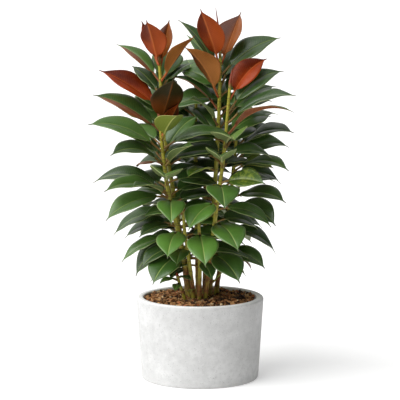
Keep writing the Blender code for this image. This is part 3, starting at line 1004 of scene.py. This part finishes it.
def add_leaf(name, stem, row, stands_for=()):
    """A leaf in its own piece, whose room the inner leaves then keep out of."""
    shape = bmesh.new()
    grow_leaf(shape, skin_layers(shape), name, stem, row)
    taken.append(BVHTree.FromBMesh(shape))
    return finish_leaves(name, shape, row[-1], stands_for)


def within_crown(points):
    """Whether a leaf stays inside the outline that the outer leaves give the plant."""
    for point in points:
        left, right = CROWN_SIDES[min(int(point.z * 10), 9)]
        beside = not left < point.x < right
        if beside or not CROWN_FRONT < point.y < CROWN_BACK or point.z < CROWN_FLOOR:
            return False
    return True


def add_inner_leaves(stem):
    """Shaded leaves that spiral up a stem between its others, wherever there is still room for one."""
    chance = random.Random(f"inner leaves of stem {stem}")
    high = STEM_LINES[stem][-1][0].z
    together = bmesh.new()
    layers = skin_layers(together)
    height = INNER_START + 0.01 * chance.random()
    heading = chance.uniform(0, 360)
    while height < min(high - INNER_BELOW_TIP, INNER_TOP):
        climb = (height - INNER_START) / (INNER_TOP - INNER_START)
        heading += INNER_TURN
        for attempt in range(INNER_ATTEMPTS):
            turn = heading + chance.uniform(-50, 50)
            if math.sin(math.radians(turn)) < INNER_FRONT:
                turn = -turn
            row = (
                height,
                turn,
                -6 + 50 * climb + chance.uniform(-10, 12),
                chance.uniform(*INNER_LENGTHS),
                chance.uniform(*INNER_DROOPS),
                25 * math.cos(math.radians(turn)) + chance.uniform(-8, 8),
                chance.uniform(*INNER_WIDTHS),
                "mature",
            )
            if not within_crown(leaf_spine(stem, row)[PETIOLE_STATIONS:]):
                continue
            trial = bmesh.new()
            name = f"inner {stem} {height:.3f} {attempt}"
            grow_leaf(trial, skin_layers(trial), name, stem, row)
            tree = BVHTree.FromBMesh(trial)
            inside = within_crown([vertex.co for vertex in trial.verts])
            trial.free()
            if inside and not any(tree.overlap(other) for other in taken):
                taken.append(tree)
                grow_leaf(together, layers, name, stem, row)
                break
        height += INNER_SPACING * chance.uniform(0.8, 1.2)
    if together.verts:
        finish_leaves(f"inner_leaves_{stem}", together, "mature")


def rounding(across, height, radius, start, steps):
    """Steps of a quarter circle that begins at start, as (distance from the axis, height) pairs."""
    turns = [math.radians(start + 90 * step / LIP_STEPS) for step in steps]
    return [(across + radius * math.cos(turn), height + radius * math.sin(turn)) for turn in turns]


def add_pot(material):
    """The turned concrete pot. Its profile runs from its underside over its lip to its floor."""
    reach = RIM_RADIUS - BASE_RADIUS
    foot = BASE_RADIUS - BASE_ROUND
    wall_top = POT_HEIGHT - LIP_ROUND
    profile = [(0.0, 0.0), (foot, 0.0), *rounding(foot, BASE_ROUND, BASE_ROUND, -90, range(1, LIP_STEPS))]
    for step in range(WALL_STEPS + 1):
        height = BASE_ROUND + (wall_top - BASE_ROUND) * (step / WALL_STEPS)
        profile.append((BASE_RADIUS + reach * (height / POT_HEIGHT), height))
    outer = profile[-1][0]
    profile += rounding(outer - LIP_ROUND, wall_top, LIP_ROUND, 0, range(1, LIP_STEPS + 1))
    inner = RIM_RADIUS - WALL
    profile += rounding(inner + LIP_ROUND, wall_top, LIP_ROUND, 90, range(LIP_STEPS + 1))
    for share in (0.85, 0.6, 0.3, 0.0):
        height = FLOOR_THICKNESS + (wall_top - FLOOR_THICKNESS) * share
        profile.append((inner - reach * (1 - height / POT_HEIGHT), height))
    profile.append((0.0, FLOOR_THICKNESS))
    shape = bmesh.new()
    marks = [shape.verts.new((radius, 0, height)) for radius, height in profile]
    for low, high in zip(marks, marks[1:]):
        shape.edges.new((low, high))
    bmesh.ops.spin(
        shape,
        geom=shape.verts[:] + shape.edges[:],
        cent=(0, 0, 0),
        axis=(0, 0, 1),
        angle=math.tau,
        steps=POT_STEPS,
        use_merge=True,
    )
    bmesh.ops.remove_doubles(shape, verts=shape.verts[:], dist=WELD)
    bmesh.ops.recalc_face_normals(shape, faces=shape.faces[:])
    piece = add_piece("concrete_pot", shape, [material], ["pot"])
    edges = piece.modifiers.new("even shading", "WEIGHTED_NORMAL")
    edges.keep_sharp = True
    return piece


def mulch_height(reach):
    """The height of the heaped mulch at a distance from the pot's axis."""
    return MULCH_EDGE + (MULCH_CROWN - MULCH_EDGE) * (1 - (reach / MULCH_RADIUS) ** 2)


def add_mulch_bed(material):
    """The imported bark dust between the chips."""
    shape = bmesh.new()
    bmesh.ops.create_grid(shape, x_segments=BED_STEPS, y_segments=BED_STEPS, size=MULCH_RADIUS)
    outside = [vertex for vertex in shape.verts if vertex.co.xy.length > MULCH_RADIUS]
    bmesh.ops.delete(shape, geom=outside, context="VERTS")
    chance = random.Random("mulch bed")
    for vertex in shape.verts:
        level = mulch_height(vertex.co.xy.length) - BED_BELOW_CHIPS
        vertex.co.z = level + chance.uniform(-0.0012, 0.0012)
    bottom = bmesh.ops.extrude_face_region(shape, geom=shape.faces[:])
    for item in bottom["geom"]:
        if isinstance(item, bmesh.types.BMVert):
            item.co.z = BED_UNDERSIDE
    bmesh.ops.recalc_face_normals(shape, faces=shape.faces[:])
    return add_piece("mulch_bed", shape, [material], ["bark_mulch"])


def add_chips(material):
    """Chips of bark lying over each other every way, the small ones sifted between the large."""
    chance = random.Random("bark chips")
    shape = bmesh.new()
    toned = shape.verts.layers.float.new("tone")
    stems = [stem_at(stem, MULCH_CROWN)[0] for stem in ALL_STEMS]
    for index in range(CHIP_COUNT):
        reach = MULCH_RADIUS * math.sqrt((index + 0.5) / CHIP_COUNT) - 0.003
        turn = index * GOLDEN_ANGLE + chance.uniform(-0.1, 0.1)
        length = chance.triangular(*CHIP_LENGTHS, CHIP_LENGTHS[0] * 1.4)
        width = length * chance.uniform(*CHIP_WIDTH_SHARES)
        thick = length * chance.uniform(*CHIP_THICKNESS_SHARES)
        level = mulch_height(reach) + chance.uniform(*CHIP_LIFTS) - 0.001
        centre = Vector((reach * math.cos(turn), reach * math.sin(turn), level))
        if any((centre.xy - stem.xy).length < 0.006 for stem in stems):
            centre.z -= 0.004
        pose = (
            Matrix.Translation(centre)
            @ Matrix.Rotation(chance.uniform(0, math.tau), 4, "Z")
            @ Matrix.Rotation(chance.gauss(0, CHIP_TILTS[0]), 4, "Y")
            @ Matrix.Rotation(chance.gauss(0, CHIP_TILTS[1]), 4, "X")
        )
        made = bmesh.ops.create_cube(shape, size=1)["verts"]
        shade = min(max(chance.gauss(0.48, 0.30), 0.0), 1.0)
        for vertex in made:
            end = 1 if vertex.co.x > 0 else -1
            narrow = chance.uniform(0.35, 1.0)
            corner = Vector(
                (
                    vertex.co.x * length * chance.uniform(0.75, 1.1),
                    vertex.co.y * width * narrow + end * chance.uniform(-0.06, 0.06) * width,
                    vertex.co.z * thick * chance.uniform(0.5, 1.2),
                )
            )
            vertex.co = pose @ corner
            vertex[toned] = shade
    piece = add_piece("bark_chips", shape, [material])
    piece.data.shade_flat()
    return piece


def look_at(place, target):
    """The turn that points a camera or lamp at place towards target."""
    return (Vector(target) - Vector(place)).to_track_quat("-Z", "Y").to_euler()


def add_camera():
    camera = bpy.data.objects.new("camera", bpy.data.cameras.new("camera"))
    camera.data.lens = CAMERA_LENS
    camera.data.sensor_width = CAMERA_SENSOR
    camera.data.clip_end = 400
    camera.location = CAMERA_PLACE
    camera.rotation_euler = look_at(CAMERA_PLACE, CAMERA_TARGET)
    bpy.context.scene.collection.objects.link(camera)
    bpy.context.scene.camera = camera


def add_floor():
    """A plain white floor that reaches past the horizon."""
    shape = bmesh.new()
    bmesh.ops.create_circle(shape, cap_ends=True, segments=64, radius=FLOOR_RADIUS)
    mesh = bpy.data.meshes.new("floor")
    shape.to_mesh(mesh)
    shape.free()
    floor = bpy.data.objects.new("floor", mesh)
    looks = {"Roughness": 0.9, "Base_Color": (0.80, 0.80, 0.80, 1), "Specular_IOR_Level": 0.0}
    glow = {"Emission_Color": (1, 1, 1, 1), "Emission_Strength": 0.34}
    mesh.materials.append(Finish("white_floor", **looks, **glow).material)
    bpy.context.scene.collection.objects.link(floor)


def light_studio():
    """A white room, brighter to the left and above, with a large soft lamp in front on the left."""
    world = bpy.data.worlds.new("studio")
    bpy.context.scene.world = world
    nodes = Nodes(world)
    sky = nodes.add("ShaderNodeTexCoord", output="Generated")
    x, y, z = nodes.parts(sky)
    toward = x * -0.72 + y * 0.35 + z * 0.60
    strength = nodes.step(toward, -0.35, 1.0) * 0.85 + 0.02
    seen = nodes.add("ShaderNodeLightPath", output="Is Camera Ray")
    background = nodes.tree.nodes["Background"]
    background.inputs["Color"].default_value = (1, 1, 1, 1)
    nodes.join(strength * (1 - seen) + seen, background.inputs["Strength"])

    key = bpy.data.lights.new("key", "SUN")
    key.energy = KEY_STRENGTH
    key.angle = math.radians(KEY_SPREAD)
    lamp = bpy.data.objects.new("key", key)
    lamp.location = KEY_PLACE
    lamp.rotation_euler = look_at(KEY_PLACE, KEY_TARGET)
    bpy.context.scene.collection.objects.link(lamp)


bpy.context.scene.view_settings.view_transform = "Standard"
add_camera()
light_studio()
add_floor()

# The shapes of the leaves so far, which an inner leaf may not touch.
taken = []
LEAF_FINISHES = {(kind, face): leaf_finish(kind, face) for kind in LEAF_TINTS for face in FACES}
stem_skin = stem_finish()
bud_skin = bud_finish()
add_pot(concrete_finish())
soil_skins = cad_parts["soil"].data.materials
soil_skins.clear()
soil_skins.append(earth_finish("potting_soil", tint(38, 28, 20), tint(74, 56, 40)))
add_mulch_bed(earth_finish("bark_dust", tint(34, 23, 15), tint(80, 56, 38)))
add_chips(chip_finish())
for stem in ALL_STEMS:
    add_stem(stem, stem_skin)
    add_bud(stem, bud_skin)
    for number, row in enumerate(LEAVES.get(stem, []), 1):
        add_leaf(f"rubber_leaf_{stem}_{number:02d}", stem, row, [f"leaf_{stem}_{number:02d}"])
    for number, row in enumerate(LESSER_LEAVES[stem], 1):
        add_leaf(f"lesser_leaf_{stem}_{number:02d}", stem, row)
for stem in STEMS:
    add_inner_leaves(stem)
